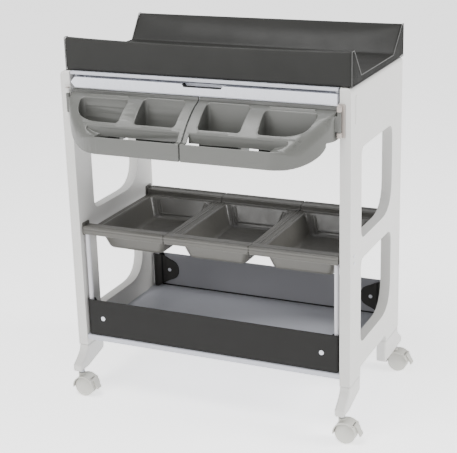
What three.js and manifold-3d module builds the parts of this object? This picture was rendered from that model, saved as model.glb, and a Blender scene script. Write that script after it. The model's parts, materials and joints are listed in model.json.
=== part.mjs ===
// Changing table with a sliding padded top over a shallow bath, two swing-out bins,
// three lift-out trays, a guarded bottom shelf and four braked casters.
// Millimetres, +Z up, front towards -Y. The geometry is drawn with the front plane of
// the side panels at y = 0, and the whole group is then moved back so that its origin
// is on the floor, under the centre of its bounding box.

import * as THREE from 'three';
import { mergeVertices } from 'three/addons/utils/BufferGeometryUtils.js';
import Module from 'manifold-3d';

const wasm = await Module();
wasm.setup();

// ---- driving dimensions ------------------------------------------------------------

const gap = 0.3; // clearance between pieces that touch
const curveSteps = 6; // straight steps in each rounded corner

const panelOuter = 400; // outer faces of the side panels, from the centre line
const panelThickness = 28;
const panelInner = panelOuter - panelThickness;
const panelDepth = 430;
const panelTop = 922;
const panelTopRound = 15;
const footSeam = 143;
const postDepth = 85;
const footReach = 42; // how far each foot kicks out past the panel
const footBottom = 78;
const footRearDepth = 118; // the rear feet are longer than the posts above them

const shelf = { bottom: 160, top: 175, front: 2, back: 428 };
const upperOpening = { bottom: 519, top: 758 };
const lowerOpening = { bottom: 232, top: 464 };

const tubeX = 359;
const tubeInset = 17; // tube axis behind the front plane, or before the back plane
const tubeRadius = 6.5;

const guard = { bottom: 176, top: 280, sheet: 2, wrap: 8.5, tab: 70, rivetX: 321, rivetZ: 227 };

const tray = {
  width: 244.6,
  pitch: 245,
  rim: 474,
  top: 491,
  bottom: 415,
  railFront: 6,
  railBack: 44,
  wall: 2.6,
};
const supportBar = { front: 15, back: 35, bottom: 475, top: 486 };
const endPlate = { thickness: 3, front: 12, back: 46, bottom: 465, top: 500 };
const screwY = 30;
const screwHeights = [473, 492];

const topRail = { bottom: 881, top: 907.5, front: -4, back: 16, half: 367 };
const fingerSlit = { centre: 12, width: 112, depth: 7 };
const backRail = { bottom: 876, top: 906, front: 410, back: 429 };

const deck = { bottom: 909, top: 922.2, half: 368, front: -2, back: 430 };
const runner = { inner: 355, bottom: 897, lip: 902, top: 908.6, front: 20, back: 405 };

const mat = { left: -386, right: 402, bottom: 922.7, floor: 940, top: 1004, front: 2, back: 434 };

const tub = { halfTop: 332, halfBottom: 262, front: 44, back: 396, rim: 906, bottom: 772, wall: 3.2 };
const drain = { x: 205, radius: 19 };

const bin = {
  inner: 1.5,
  outer: 366,
  depth: 122,
  back: 10,
  bottom: 740,
  skin: 3,
  corner: 130, // size of the rounded outer front corner, seen from above
  crown: { y: -4, z: 866, tilt: 0.341, bend: 0.00427 }, // the curved top face
  bandTop: 785.6,
  lipFront: -89,
};
const towelSlot = { inner: 14, outer: 274 };
const binUnderside = { start: 265, reach: 88, rise: 55 }; // quarter ellipse towards the hinge
const hinge = { x: 374, y: -10, pin: 2.6, bore: 3, barrel: 6, bottom: 802, top: 884 };

const wheelRadius = 28;
const trail = 12;
const caster = { x: 386, front: -18, back: 448, halfWidth: 21, web: 3.5 };

// The bins reach furthest forward and the rear feet furthest back.
const centreY = (panelDepth + footReach - bin.depth) / 2;

// ---- materials ---------------------------------------------------------------------

function plastic(color, roughness) {
  return () => new THREE.MeshStandardMaterial({ color, roughness, metalness: 0 });
}

function metal(color, roughness) {
  return () => new THREE.MeshStandardMaterial({ color, roughness, metalness: 1 });
}

const whitePlastic = plastic(0xf1f1ef, 0.38);
const whiteBoard = plastic(0xe9e9ec, 0.3);
const greyPlastic = plastic(0x8e8f8a, 0.45);
const trayPlastic = plastic(0x74746f, 0.42);
const darkVinyl = plastic(0x4b4b48, 0.5);
const guardSheet = plastic(0x434342, 0.5);
const casterPlastic = plastic(0xc8c8c3, 0.4);
const steel = metal(0xb8bac0, 0.35);

// ---- solids ------------------------------------------------------------------------

function toSolid(geometry) {
  const plain = geometry.clone();
  plain.deleteAttribute('normal');
  plain.deleteAttribute('uv');
  const merged = mergeVertices(plain, 1e-4);
  const vertProperties = new Float32Array(merged.attributes.position.array);
  const triVerts = new Uint32Array(merged.index.array);
  return new wasm.Manifold(new wasm.Mesh({ numProp: 3, vertProperties, triVerts }));
}

function toGeometry(solid) {
  const mesh = solid.getMesh();
  const geometry = new THREE.BufferGeometry();
  geometry.setAttribute('position', new THREE.BufferAttribute(new Float32Array(mesh.vertProperties), 3));
  geometry.setIndex(new THREE.BufferAttribute(new Uint32Array(mesh.triVerts), 1));
  geometry.computeVertexNormals();
  return geometry;
}

function join(...geometries) {
  return toGeometry(geometries.map(toSolid).reduce((sum, next) => sum.add(next)));
}

function cut(geometry, ...tools) {
  return toGeometry(tools.map(toSolid).reduce((rest, tool) => rest.subtract(tool), toSolid(geometry)));
}

function common(...geometries) {
  return toGeometry(geometries.map(toSolid).reduce((rest, next) => rest.intersect(next)));
}

function block(x0, x1, y0, y1, z0, z1) {
  const geometry = new THREE.BoxGeometry(x1 - x0, y1 - y0, z1 - z0);
  return geometry.translate((x0 + x1) / 2, (y0 + y1) / 2, (z0 + z1) / 2);
}

// A rod along +Z that starts at `start`.
function rod(radius, start, length, sides = 16) {
  const geometry = new THREE.CylinderGeometry(radius, radius, length, sides);
  geometry.rotateX(Math.PI / 2).translate(0, 0, length / 2);
  return geometry.translate(...start);
}

function rodAlongX(radius, start, length, sides = 16) {
  const geometry = new THREE.CylinderGeometry(radius, radius, length, sides);
  geometry.rotateZ(-Math.PI / 2).translate(length / 2, 0, 0);
  return geometry.translate(...start);
}

function rodAlongY(radius, start, length, sides = 16) {
  const geometry = new THREE.CylinderGeometry(radius, radius, length, sides);
  return geometry.translate(0, length / 2, 0).translate(...start);
}

// An outline with rounded corners, from a list of [u, v, radius].
function outline(corners, path = new THREE.Shape()) {
  const count = corners.length;
  corners.forEach(([u, v, radius = 0], index) => {
    const before = corners[(index + count - 1) % count];
    const after = corners[(index + 1) % count];
    const enter = stepTowards([u, v], before, radius);
    const leave = stepTowards([u, v], after, radius);
    if (index === 0) {
      path.moveTo(...enter);
    } else {
      path.lineTo(...enter);
    }
    if (radius > 0) {
      path.quadraticCurveTo(u, v, ...leave);
    }
  });
  path.closePath();
  return path;
}

function stepTowards(from, to, distance) {
  const length = Math.hypot(to[0] - from[0], to[1] - from[1]);
  const share = length > 0 ? distance / length : 0;
  return [from[0] + (to[0] - from[0]) * share, from[1] + (to[1] - from[1]) * share];
}

function rectangle(u0, u1, v0, v1, radius = 0) {
  return outline([[u0, v0, radius], [u1, v0, radius], [u1, v1, radius], [u0, v1, radius]]);
}

function extrude(shape, depth, steps) {
  return new THREE.ExtrudeGeometry(shape, { depth, bevelEnabled: false, curveSegments: steps });
}

// The outline is drawn in (y, z) and pushed along x.
function prismX(shape, x0, x1, steps = curveSteps) {
  const turn = new THREE.Matrix4().set(0, 0, 1, x0, 1, 0, 0, 0, 0, 1, 0, 0, 0, 0, 0, 1);
  return extrude(shape, x1 - x0, steps).applyMatrix4(turn);
}

// The outline is drawn in (x, z) and pushed along y.
function prismY(shape, y0, y1, steps = curveSteps) {
  const turn = new THREE.Matrix4().set(1, 0, 0, 0, 0, 0, -1, y1, 0, 1, 0, 0, 0, 0, 0, 1);
  return extrude(shape, y1 - y0, steps).applyMatrix4(turn);
}

// The outline is drawn in (x, y) and pushed along z.
function prismZ(shape, z0, z1, steps = curveSteps) {
  return extrude(shape, z1 - z0, steps).translate(0, 0, z0);
}

// A block whose top and bottom are rounded rectangles of different sizes.
function taperedBlock(top, bottom) {
  const rings = [bottom, top].map((end) => {
    const shape = rectangle(end.x0, end.x1, end.y0, end.y1, end.round);
    const points = shape.getPoints(4).slice(0, -1);
    return points.map((point) => [point.x, point.y, end.z]);
  });
  const count = rings[0].length;
  const positions = [...rings[0], ...rings[1]];
  const centres = [bottom, top].map((end) => [(end.x0 + end.x1) / 2, (end.y0 + end.y1) / 2, end.z]);
  positions.push(...centres);
  const index = [];
  for (let i = 0; i < count; i += 1) {
    const next = (i + 1) % count;
    index.push(i, next, count + next, i, count + next, count + i);
    index.push(2 * count, next, i, 2 * count + 1, count + i, count + next);
  }
  const geometry = new THREE.BufferGeometry();
  geometry.setAttribute('position', new THREE.Float32BufferAttribute(positions.flat(), 3));
  geometry.setIndex(index);
  geometry.computeVertexNormals();
  return geometry;
}

// The geometry scaled by -1 along one axis, with its triangles turned back outwards.
function reflected(geometry, x, y) {
  const flipped = geometry.clone().applyMatrix4(new THREE.Matrix4().makeScale(x, y, 1));
  const solid = flipped.index ? flipped : mergeVertices(flipped);
  const order = solid.index.array;
  for (let i = 0; i < order.length; i += 3) {
    [order[i], order[i + 1]] = [order[i + 1], order[i]];
  }
  solid.computeVertexNormals();
  return solid;
}

// The mirror image across the plane x = 0.
function mirrored(geometry) {
  return reflected(geometry, -1, 1);
}

// ---- the assembly ------------------------------------------------------------------

const table = new THREE.Group();
table.position.set(0, -centreY, 0);

function add(name, geometry, material, parent = table) {
  const mesh = new THREE.Mesh(geometry, material());
  mesh.name = name;
  parent.add(mesh);
  return mesh;
}

function addPair(stem, geometryOnRight, material) {
  add(`${stem}_right`, geometryOnRight, material);
  add(`${stem}_left`, mirrored(geometryOnRight), material);
}

// ---- side panels and feet ----------------------------------------------------------

function panelProfile() {
  const barUnderside = 165;
  const rearFoot = panelDepth - footRearDepth;
  const shape = outline([
    [0, footSeam],
    [postDepth, footSeam],
    [postDepth, barUnderside, 12],
    [rearFoot, barUnderside, 12],
    [rearFoot, footSeam],
    [panelDepth, footSeam],
    [panelDepth, panelTop, 12],
    [0, panelTop, 8],
  ]);
  const back = panelDepth - postDepth;
  for (const opening of [upperOpening, lowerOpening]) {
    const corners = [
      [postDepth, opening.bottom, 26],
      [postDepth, opening.top, 24],
      [back, opening.top, 34],
      [back, opening.bottom, 84],
    ];
    shape.holes.push(outline(corners, new THREE.Path()));
  }
  return shape;
}

function panelGeometry() {
  const slab = prismX(panelProfile(), panelInner, panelOuter);
  const frontView = outline([
    [panelInner - 1, footSeam - 1],
    [panelOuter + 1, footSeam - 1],
    [panelOuter + 1, footSeam + 1],
    [panelOuter, footSeam + 1],
    [panelOuter, panelTop, panelTopRound],
    [panelInner - 1, panelTop],
  ]);
  const rounded = common(slab, prismY(frontView, -1, panelDepth + 1));
  const holes = screwHeights.map((z) => rodAlongX(2.6, [panelInner - 1, screwY, z], panelThickness + 2, 10));
  return cut(rounded, ...holes);
}

function footProfile(depth) {
  const shape = new THREE.Shape();
  const top = footSeam - gap;
  shape.moveTo(0, top);
  shape.bezierCurveTo(-1, 122, -22, 112, -footReach, 96);
  shape.lineTo(-footReach, footBottom + 6);
  shape.quadraticCurveTo(-footReach, footBottom, -footReach + 8, footBottom);
  shape.lineTo(depth - 34, footBottom);
  shape.quadraticCurveTo(depth, footBottom + 4, depth, footBottom + 28);
  shape.lineTo(depth, top);
  shape.closePath();
  return shape;
}

function footGeometry(depth) {
  const body = prismX(footProfile(depth), panelInner, panelOuter);
  const bore = rod(5.4, [caster.x, caster.front, footBottom - 1], 21, 12);
  return cut(body, bore);
}

function rearFootGeometry() {
  return reflected(footGeometry(footRearDepth), 1, -1).translate(0, panelDepth, 0);
}

function addSides() {
  addPair('side_panel', panelGeometry(), whitePlastic);
  addPair('foot_front', footGeometry(postDepth + 4), whitePlastic);
  addPair('foot_rear', rearFootGeometry(), whitePlastic);
}

// ---- casters: drawn with the stem on the origin, trailing towards +X ----------------

function casterStem() {
  return join(rod(5, [0, 0, 55.4], 42, 10), rod(8, [0, 0, 68.5], 4, 12));
}

function arcOutline(centreX, centreZ, inner, outer, from, to, steps) {
  const shape = new THREE.Shape();
  for (let i = 0; i <= steps; i += 1) {
    const angle = from + ((to - from) * i) / steps;
    const point = [centreX + outer * Math.cos(angle), centreZ + outer * Math.sin(angle)];
    if (i === 0) {
      shape.moveTo(...point);
    } else {
      shape.lineTo(...point);
    }
  }
  for (let i = steps; i >= 0; i -= 1) {
    const angle = from + ((to - from) * i) / steps;
    shape.lineTo(centreX + inner * Math.cos(angle), centreZ + inner * Math.sin(angle));
  }
  shape.closePath();
  return shape;
}

const leverAngle = THREE.MathUtils.degToRad(42);
const leverPivot = [trail + 31.5 * Math.cos(leverAngle), wheelRadius + 31.5 * Math.sin(leverAngle)];

function casterFrame() {
  const { halfWidth, web } = caster;
  const outer = 32.5;
  const inner = 29.4;
  const fender = arcOutline(trail, wheelRadius, inner, outer, 0.1, Math.PI * 1.02, 12);
  const disc = arcOutline(trail, wheelRadius, 3.4, inner + 0.6, -0.2, Math.PI * 1.1, 12);
  const hub = rodAlongY(8, [trail, -web, wheelRadius], 2 * web);
  const boss = common(
    rod(10, [0, 0, 50], 16, 16),
    prismY(rectangle(-12, 12, 50, 66), -12, 12),
  );
  const well = rodAlongY(inner, [trail, web, wheelRadius], 30, 20);
  const farWell = rodAlongY(inner, [trail, -web - 30, wheelRadius], 30, 20);
  const [pivotX, pivotZ] = leverPivot;
  const leverSlot = block(pivotX - 7, pivotX + 20, -10.8, 10.8, 8, pivotZ + 4.6);
  const body = join(prismY(fender, -halfWidth, halfWidth), prismY(disc, -web, web), hub, boss);
  const open = cut(
    body,
    well,
    farWell,
    rodAlongY(3.4, [trail, -web - 1, wheelRadius], 2 * web + 2, 8),
    rod(5.3, [0, 0, 55], 12, 10),
    leverSlot,
  );
  const tips = [-halfWidth, 9].map((y) => rodAlongY(3.4, [pivotX, y, pivotZ], 12, 8));
  const pin = rodAlongY(1.5, [pivotX, -halfWidth, pivotZ], 2 * halfWidth, 6);
  const clear = rodAlongY(inner, [trail, -30, wheelRadius], 60, 20);
  const lugs = cut(join(...tips), block(-50, 90, -10.8, 10.8, 0, 90), clear);
  return join(open, lugs, pin);
}

function casterWheels() {
  const { halfWidth, web } = caster;
  const inside = web + 1;
  const tyre = halfWidth - 0.5;
  const profile = [
    [0, -tyre - 1.5],
    [15, -tyre - 1],
    [wheelRadius, -tyre + 5],
    [wheelRadius, -inside],
    [3, -inside],
    [3, inside],
    [wheelRadius, inside],
    [wheelRadius, tyre - 5],
    [15, tyre + 1],
    [0, tyre + 1.5],
  ];
  const points = profile.map(([radius, y]) => new THREE.Vector2(radius, y));
  return new THREE.LatheGeometry(points, 20).translate(trail, 0, wheelRadius);
}

function casterLever() {
  const [pivotX, pivotZ] = leverPivot;
  const blade = outline([
    [pivotX - 1, pivotZ + 3.4, 2],
    [pivotX + 4.5, pivotZ + 1.5, 2],
    [trail + 40.5, wheelRadius + 3],
    [trail + 43, wheelRadius - 3, 2],
    [trail + 38.5, wheelRadius - 4.5, 2],
    [trail + 36, wheelRadius + 2.5],
    [pivotX + 0.5, pivotZ - 3.4, 1],
  ]);
  const body = join(prismY(blade, -10, 10, 2), rodAlongY(3.4, [pivotX, -10, pivotZ], 20, 10));
  return cut(body, rodAlongY(1.9, [pivotX, -11, pivotZ], 22, 8));
}

function addCasters() {
  const stem = casterStem();
  const frame = casterFrame();
  const wheels = casterWheels();
  const lever = casterLever();
  const places = [
    ['front_left', -caster.x, caster.front, 0],
    ['front_right', caster.x, caster.front, 0],
    ['rear_left', -caster.x, caster.back, Math.PI],
    ['rear_right', caster.x, caster.back, 0],
  ];
  for (const [place, x, y, turn] of places) {
    const stand = new THREE.Group();
    stand.position.set(x, y, 0);
    stand.rotation.z = turn;
    table.add(stand);
    add(`caster_stem_${place}`, stem, steel, stand);
    add(`caster_hood_${place}`, frame, casterPlastic, stand);
    add(`caster_wheels_${place}`, wheels, casterPlastic, stand);
    add(`caster_brake_${place}`, lever, casterPlastic, stand);
  }
}

// ---- bottom shelf, its guards and the upright tubes ---------------------------------

function shelfGeometry() {
  const edge = panelInner - gap;
  return prismX(rectangle(shelf.front, shelf.back, shelf.bottom, shelf.top, 3), -edge, edge, 3);
}

function addTubes() {
  const length = supportBar.bottom - gap - (shelf.top + gap);
  const places = [
    ['front_left', -tubeX, tubeInset],
    ['front_right', tubeX, tubeInset],
    ['rear_left', -tubeX, panelDepth - tubeInset],
    ['rear_right', tubeX, panelDepth - tubeInset],
  ];
  for (const [place, x, y] of places) {
    add(`upright_tube_${place}`, rod(tubeRadius, [x, y, shelf.top + gap], length, 20), whitePlastic);
  }
}

// Seen from above: a sheet in front of the tube, a turn round it, and a tab that comes
// back to lie against the sheet. Drawn for the right-hand end.
function guardEndOutline() {
  const { sheet, wrap, tab } = guard;
  const outer = wrap + sheet;
  const front = tubeInset - outer;
  const shape = new THREE.Shape();
  const lie = front + sheet + 0.6;
  shape.moveTo(tubeX - 20, front);
  shape.lineTo(tubeX, front);
  shape.absarc(tubeX, tubeInset, outer, -Math.PI / 2, Math.PI / 2, false);
  shape.bezierCurveTo(tubeX - 14, tubeInset + outer, tubeX - 16, lie + sheet, tubeX - 28, lie + sheet);
  shape.lineTo(tubeX - tab, lie + sheet);
  shape.lineTo(tubeX - tab, lie);
  shape.lineTo(tubeX - 27, lie);
  shape.bezierCurveTo(tubeX - 15, lie, tubeX - 12, tubeInset + wrap, tubeX, tubeInset + wrap);
  shape.absarc(tubeX, tubeInset, wrap, Math.PI / 2, -Math.PI / 2, true);
  shape.lineTo(tubeX - 20, front + sheet);
  shape.closePath();
  return shape;
}

// The elevation of the rolled end: full height at the tube, a rounded point at the tab's end.
function guardTabElevation() {
  const { bottom, top, tab } = guard;
  const middle = (bottom + top) / 2;
  const shape = new THREE.Shape();
  shape.moveTo(tubeX + 12, bottom);
  shape.lineTo(tubeX + 12, top);
  shape.lineTo(tubeX - 6, top);
  shape.bezierCurveTo(tubeX - 40, top - 8, tubeX - tab, middle + 26, tubeX - tab + 1, middle);
  shape.bezierCurveTo(tubeX - tab, middle - 26, tubeX - 40, bottom + 8, tubeX - 6, bottom);
  shape.closePath();
  return shape;
}

function guardGeometry() {
  const { bottom, top, sheet, wrap, rivetX, rivetZ } = guard;
  const front = tubeInset - wrap - sheet;
  const face = block(-tubeX + 8, tubeX - 8, front, front + sheet, bottom, top);
  const roll = prismZ(guardEndOutline(), bottom, top);
  const shapedRoll = common(roll, prismY(guardTabElevation(), front + sheet, tubeInset + 20));
  const strip = block(tubeX - 20, tubeX + 20, front - 1, front + sheet + 0.05, bottom, top);
  const frontStrip = common(roll, strip);
  const end = join(shapedRoll, frontStrip);
  const rivetHole = (x) => rodAlongY(2.4, [x, front - 1, rivetZ], 12, 10);
  const corners = outline([
    [-tubeX - 14, bottom, 16],
    [tubeX + 14, bottom, 16],
    [tubeX + 14, top + 1],
    [-tubeX - 14, top + 1],
  ]);
  const whole = join(face, end, mirrored(end));
  const trimmed = common(whole, prismY(corners, front - 2, tubeInset + 25));
  return cut(trimmed, rivetHole(rivetX), rivetHole(-rivetX));
}

// A snap rivet along y: a domed cap in front, a shank and a flat clinch behind.
function rivetGeometry(x) {
  const { sheet, wrap, rivetZ } = guard;
  const front = tubeInset - wrap - sheet;
  const grip = 2 * sheet + 0.6;
  const profile = [
    [0, -2.2],
    [4, -1.9],
    [7, -gap],
    [2, -gap],
    [2, grip + gap],
    [6, grip + gap],
    [5, grip + 1.6],
    [0, grip + 2],
  ];
  const points = profile.map(([radius, y]) => new THREE.Vector2(radius, y));
  return new THREE.LatheGeometry(points, 12).translate(x, front, rivetZ);
}

function addGuards() {
  const front = guardGeometry();
  add('shelf_guard_front', front, guardSheet);
  add('guard_rivet_front_right', rivetGeometry(guard.rivetX), whitePlastic);
  add('guard_rivet_front_left', rivetGeometry(-guard.rivetX), whitePlastic);
  const rear = new THREE.Group();
  rear.position.set(0, panelDepth, 0);
  rear.rotation.z = Math.PI;
  table.add(rear);
  add('shelf_guard_rear', front, guardSheet, rear);
  add('guard_rivet_rear_left', rivetGeometry(guard.rivetX), whitePlastic, rear);
  add('guard_rivet_rear_right', rivetGeometry(-guard.rivetX), whitePlastic, rear);
}

// ---- trays and the bars that carry them ---------------------------------------------

function supportBarGeometry() {
  const edge = panelInner - gap;
  const plateInner = edge - endPlate.thickness;
  const profile = rectangle(supportBar.front, supportBar.back, supportBar.bottom, supportBar.top, 3);
  const bar = prismX(profile, -edge + 1, edge - 1, 3);
  const plate = prismX(
    rectangle(endPlate.front, endPlate.back, endPlate.bottom, endPlate.top, 5),
    plateInner,
    edge,
    3,
  );
  const holes = [];
  for (const z of screwHeights) {
    holes.push(rodAlongX(2.6, [plateInner - 4, screwY, z], 12, 10));
    holes.push(rodAlongX(2.6, [-plateInner - 8, screwY, z], 12, 10));
  }
  return cut(join(bar, plate, mirrored(plate)), ...holes);
}

function screwGeometry(z) {
  const profile = [
    [0, -24],
    [2.2, -24],
    [2.2, gap],
    [4.4, gap],
    [3.6, 1.6],
    [0, 1.9],
  ];
  const points = profile.map(([radius, along]) => new THREE.Vector2(radius, along));
  const lathe = new THREE.LatheGeometry(points, 10);
  return lathe.rotateZ(-Math.PI / 2).translate(panelOuter, screwY, z);
}

function addTrayBars() {
  const front = supportBarGeometry();
  add('tray_bar_front', front, steel);
  const rear = new THREE.Group();
  rear.position.set(0, panelDepth, 0);
  rear.rotation.z = Math.PI;
  table.add(rear);
  add('tray_bar_rear', front, steel, rear);
  screwHeights.forEach((z, index) => {
    addPair(`bar_screw_${index === 0 ? 'lower' : 'upper'}`, screwGeometry(z), whitePlastic);
  });
}

// One tray centred on x = 0: a rim, a tapered basin below it, and front and back rails
// that hook over the support bars.
function trayGeometry() {
  const { width, rim, top, bottom, railFront, railBack, wall } = tray;
  const half = width / 2;
  const rimHalf = 101;
  const basinEdge = 56;
  const draft = 20;
  const rimPlate = block(-half, half, railBack - 4, panelDepth - railBack + 4, rim - wall, rim);
  const end = (inset, z, round) => ({
    x0: -rimHalf + inset,
    x1: rimHalf - inset,
    y0: basinEdge + inset,
    y1: panelDepth - basinEdge - inset,
    z,
    round,
  });
  const outside = taperedBlock(end(-wall, rim - 1, 16), end(draft - wall, bottom - wall, 14));
  const inside = taperedBlock(end(-0.6, rim + 2, 14), end(draft, bottom, 12));
  const rail = prismX(
    outline([
      [railFront, rim - 3],
      [railFront + wall, rim - 3],
      [railFront + wall, top - wall, 2],
      [railBack - wall, top - wall, 2],
      [railBack - wall, rim - 3],
      [railBack, rim - 3],
      [railBack, top, 4],
      [railFront, top, 5],
    ]),
    -half,
    half,
    3,
  );
  const oppositeRail = rail.clone().rotateZ(Math.PI).translate(0, panelDepth, 0);
  return cut(join(rimPlate, outside, rail, oppositeRail), inside);
}

function addTrays() {
  const geometry = trayGeometry();
  ['left', 'middle', 'right'].forEach((place, index) => {
    const mesh = add(`tray_${place}`, geometry, trayPlastic);
    mesh.position.x = (index - 1) * tray.pitch;
  });
}

// ---- top: rails, runners, deck, mat and bath ----------------------------------------

function topRailGeometry() {
  const { bottom, top, front, back, half } = topRail;
  const face = outline([
    [-half, bottom + 10, 2],
    [-half + 13, bottom, 5],
    [half - 13, bottom, 5],
    [half, bottom + 10, 2],
    [half, top - 10, 2],
    [half - 13, top, 5],
    [-half + 13, top, 5],
    [-half, top - 10, 2],
  ]);
  const { centre, width, depth } = fingerSlit;
  const slit = prismY(
    outline([
      [centre - width / 2, top + 1],
      [centre - width / 2 + 3, top - depth, 3],
      [centre + width / 2 - 3, top - depth, 3],
      [centre + width / 2, top + 1],
    ]),
    front - 1,
    back + 1,
    3,
  );
  return cut(prismY(face, front, back, 3), slit);
}

function backRailGeometry() {
  const edge = panelInner - gap;
  const profile = rectangle(backRail.front, backRail.back, backRail.bottom, backRail.top, 4);
  return prismX(profile, -edge, edge, 3);
}

function runnerGeometry() {
  const profile = outline([
    [runner.inner, runner.bottom],
    [panelInner - gap, runner.bottom],
    [panelInner - gap, runner.top],
    [runner.inner + 6, runner.top],
    [runner.inner + 6, runner.lip],
    [runner.inner, runner.lip],
  ]);
  return prismY(profile, runner.front, runner.back);
}

function deckGeometry() {
  const { half, front, back, bottom, top } = deck;
  return prismZ(rectangle(-half, half, front, back, 6), bottom, top, 3);
}

function matGeometry() {
  const { left, right, bottom, floor, top, front, back } = mat;
  const profile = outline([
    [front + 1, bottom, 3],
    [back - 1, bottom, 3],
    [back + 1, top, 5],
    [back - 12, top, 6],
    [back - 88, floor, 12],
    [front + 70, floor, 12],
    [front + 17, top, 6],
    [front, top, 5],
  ]);
  return prismX(profile, left, right, 3);
}

function tubGeometry() {
  const { halfTop, halfBottom, front, back, rim, bottom, wall } = tub;
  const lip = prismZ(rectangle(-halfTop - 16, halfTop + 16, front - 20, back + 12, 30), rim - 5, rim);
  const end = (reach, inset, z, round) => ({
    x0: -reach, x1: reach, y0: front + inset, y1: back - inset, z, round,
  });
  const slope = 62; // how much shorter the floor is at each end of its depth
  const outside = taperedBlock(
    end(halfTop + wall, -wall, rim - 2, 52),
    end(halfBottom + wall, slope - wall, bottom - wall, 42),
  );
  const inside = taperedBlock(end(halfTop + 1, -1, rim + 2, 50), end(halfBottom, slope, bottom, 40));
  const middle = (front + back) / 2;
  return cut(join(lip, outside), inside, rod(drain.radius, [drain.x, middle, bottom - 8], 16, 20));
}

function plugGeometry() {
  const profile = [
    [0, -5],
    [drain.radius - 2, -5],
    [drain.radius - 0.8, gap],
    [drain.radius + 5, gap],
    [drain.radius + 4, 3],
    [5, 4],
    [4, 12],
    [0, 12.5],
  ];
  const points = profile.map(([radius, z]) => new THREE.Vector2(radius, z));
  const lathe = new THREE.LatheGeometry(points, 16).rotateX(Math.PI / 2);
  return lathe.translate(drain.x, (tub.front + tub.back) / 2, tub.bottom);
}

function addTop() {
  add('top_rail_front', topRailGeometry(), whitePlastic);
  add('top_rail_rear', backRailGeometry(), whitePlastic);
  addPair('deck_runner', runnerGeometry(), steel);
  add('deck', deckGeometry(), whiteBoard);
  add('changing_mat', matGeometry(), darkVinyl);
  add('bath_tub', tubGeometry(), whitePlastic);
  add('bath_plug', plugGeometry(), greyPlastic);
}

// ---- swing-out bins ------------------------------------------------------------------

// Height of the bins' curved top face at a given y.
function crownAt(y) {
  const { y: middle, z, tilt, bend } = bin.crown;
  return Math.max(z + tilt * (y - middle) - bend * (y - middle) ** 2, bin.bandTop);
}

// The bin's plan, square at the middle of the table and rounded at its outer front corner.
function binPlan(inset) {
  const { inner, outer, depth, back, corner } = bin;
  const shape = new THREE.Shape();
  const side = outer - inset;
  const front = -depth + inset;
  const bendEnd = Math.min(-4, back - inset - 4);
  const pull = 0.56;
  shape.moveTo(inner + inset, back - inset);
  shape.lineTo(inner + inset, front);
  shape.lineTo(side - corner, front);
  shape.bezierCurveTo(
    side - corner * (1 - pull),
    front,
    side,
    bendEnd + (front - bendEnd) * pull,
    side,
    bendEnd,
  );
  shape.lineTo(side, back - inset);
  shape.closePath();
  return shape;
}

// The curved top face from front to back, lowered by `drop`, as [y, z] corners.
function crownLine(drop) {
  const steps = 7;
  const from = -bin.depth - 2;
  const kink = -107; // the band's flat top starts here
  const line = [[from, crownAt(from) - drop]];
  for (let i = 0; i <= steps; i += 1) {
    const y = kink + ((bin.back + 2 - kink) * i) / steps;
    line.push([y, crownAt(y) - drop]);
  }
  return line;
}

function aboveCrown(drop) {
  const top = 900;
  const ends = [[bin.back + 2, top], [-bin.depth - 2, top]];
  return prismX(outline([...crownLine(drop), ...ends]), -10, bin.outer + 20);
}

// What lies under the curved lower edge of the bin's outer end.
function belowUnderside() {
  const { start, reach, rise } = binUnderside;
  const steps = 8;
  const corners = [[start, bin.bottom - 5]];
  for (let i = 0; i <= steps; i += 1) {
    const angle = (i / steps) * (Math.PI / 2);
    corners.push([start + reach * Math.sin(angle), bin.bottom + rise * (1 - Math.cos(angle))]);
  }
  corners.push([bin.outer + 5, bin.bottom + rise], [bin.outer + 5, bin.bottom - 5]);
  return prismY(outline(corners), -bin.depth - 5, bin.back + 5);
}

// A tapered pocket with its top end above the bin; `grow` makes the wall around it.
function pocket(x0, x1, floor, grow) {
  const top = 880;
  const draft = 6;
  const [front, back] = [-84, -9];
  return taperedBlock(
    { x0: x0 - grow, x1: x1 + grow, y0: front - grow, y1: back + grow, z: top, round: 16 },
    {
      x0: x0 + draft - grow,
      x1: x1 - draft + grow,
      y0: front + draft - grow,
      y1: back - draft + grow,
      z: floor - grow,
      round: 14,
    },
  );
}

// The outer pocket follows the bin's rounded corner.
function outerPocket(grow) {
  const margin = 26 - grow;
  return common(pocket(187, 330, bin.bottom + 30, grow), prismZ(binPlan(margin), bin.bottom, 880, 10));
}

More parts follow.
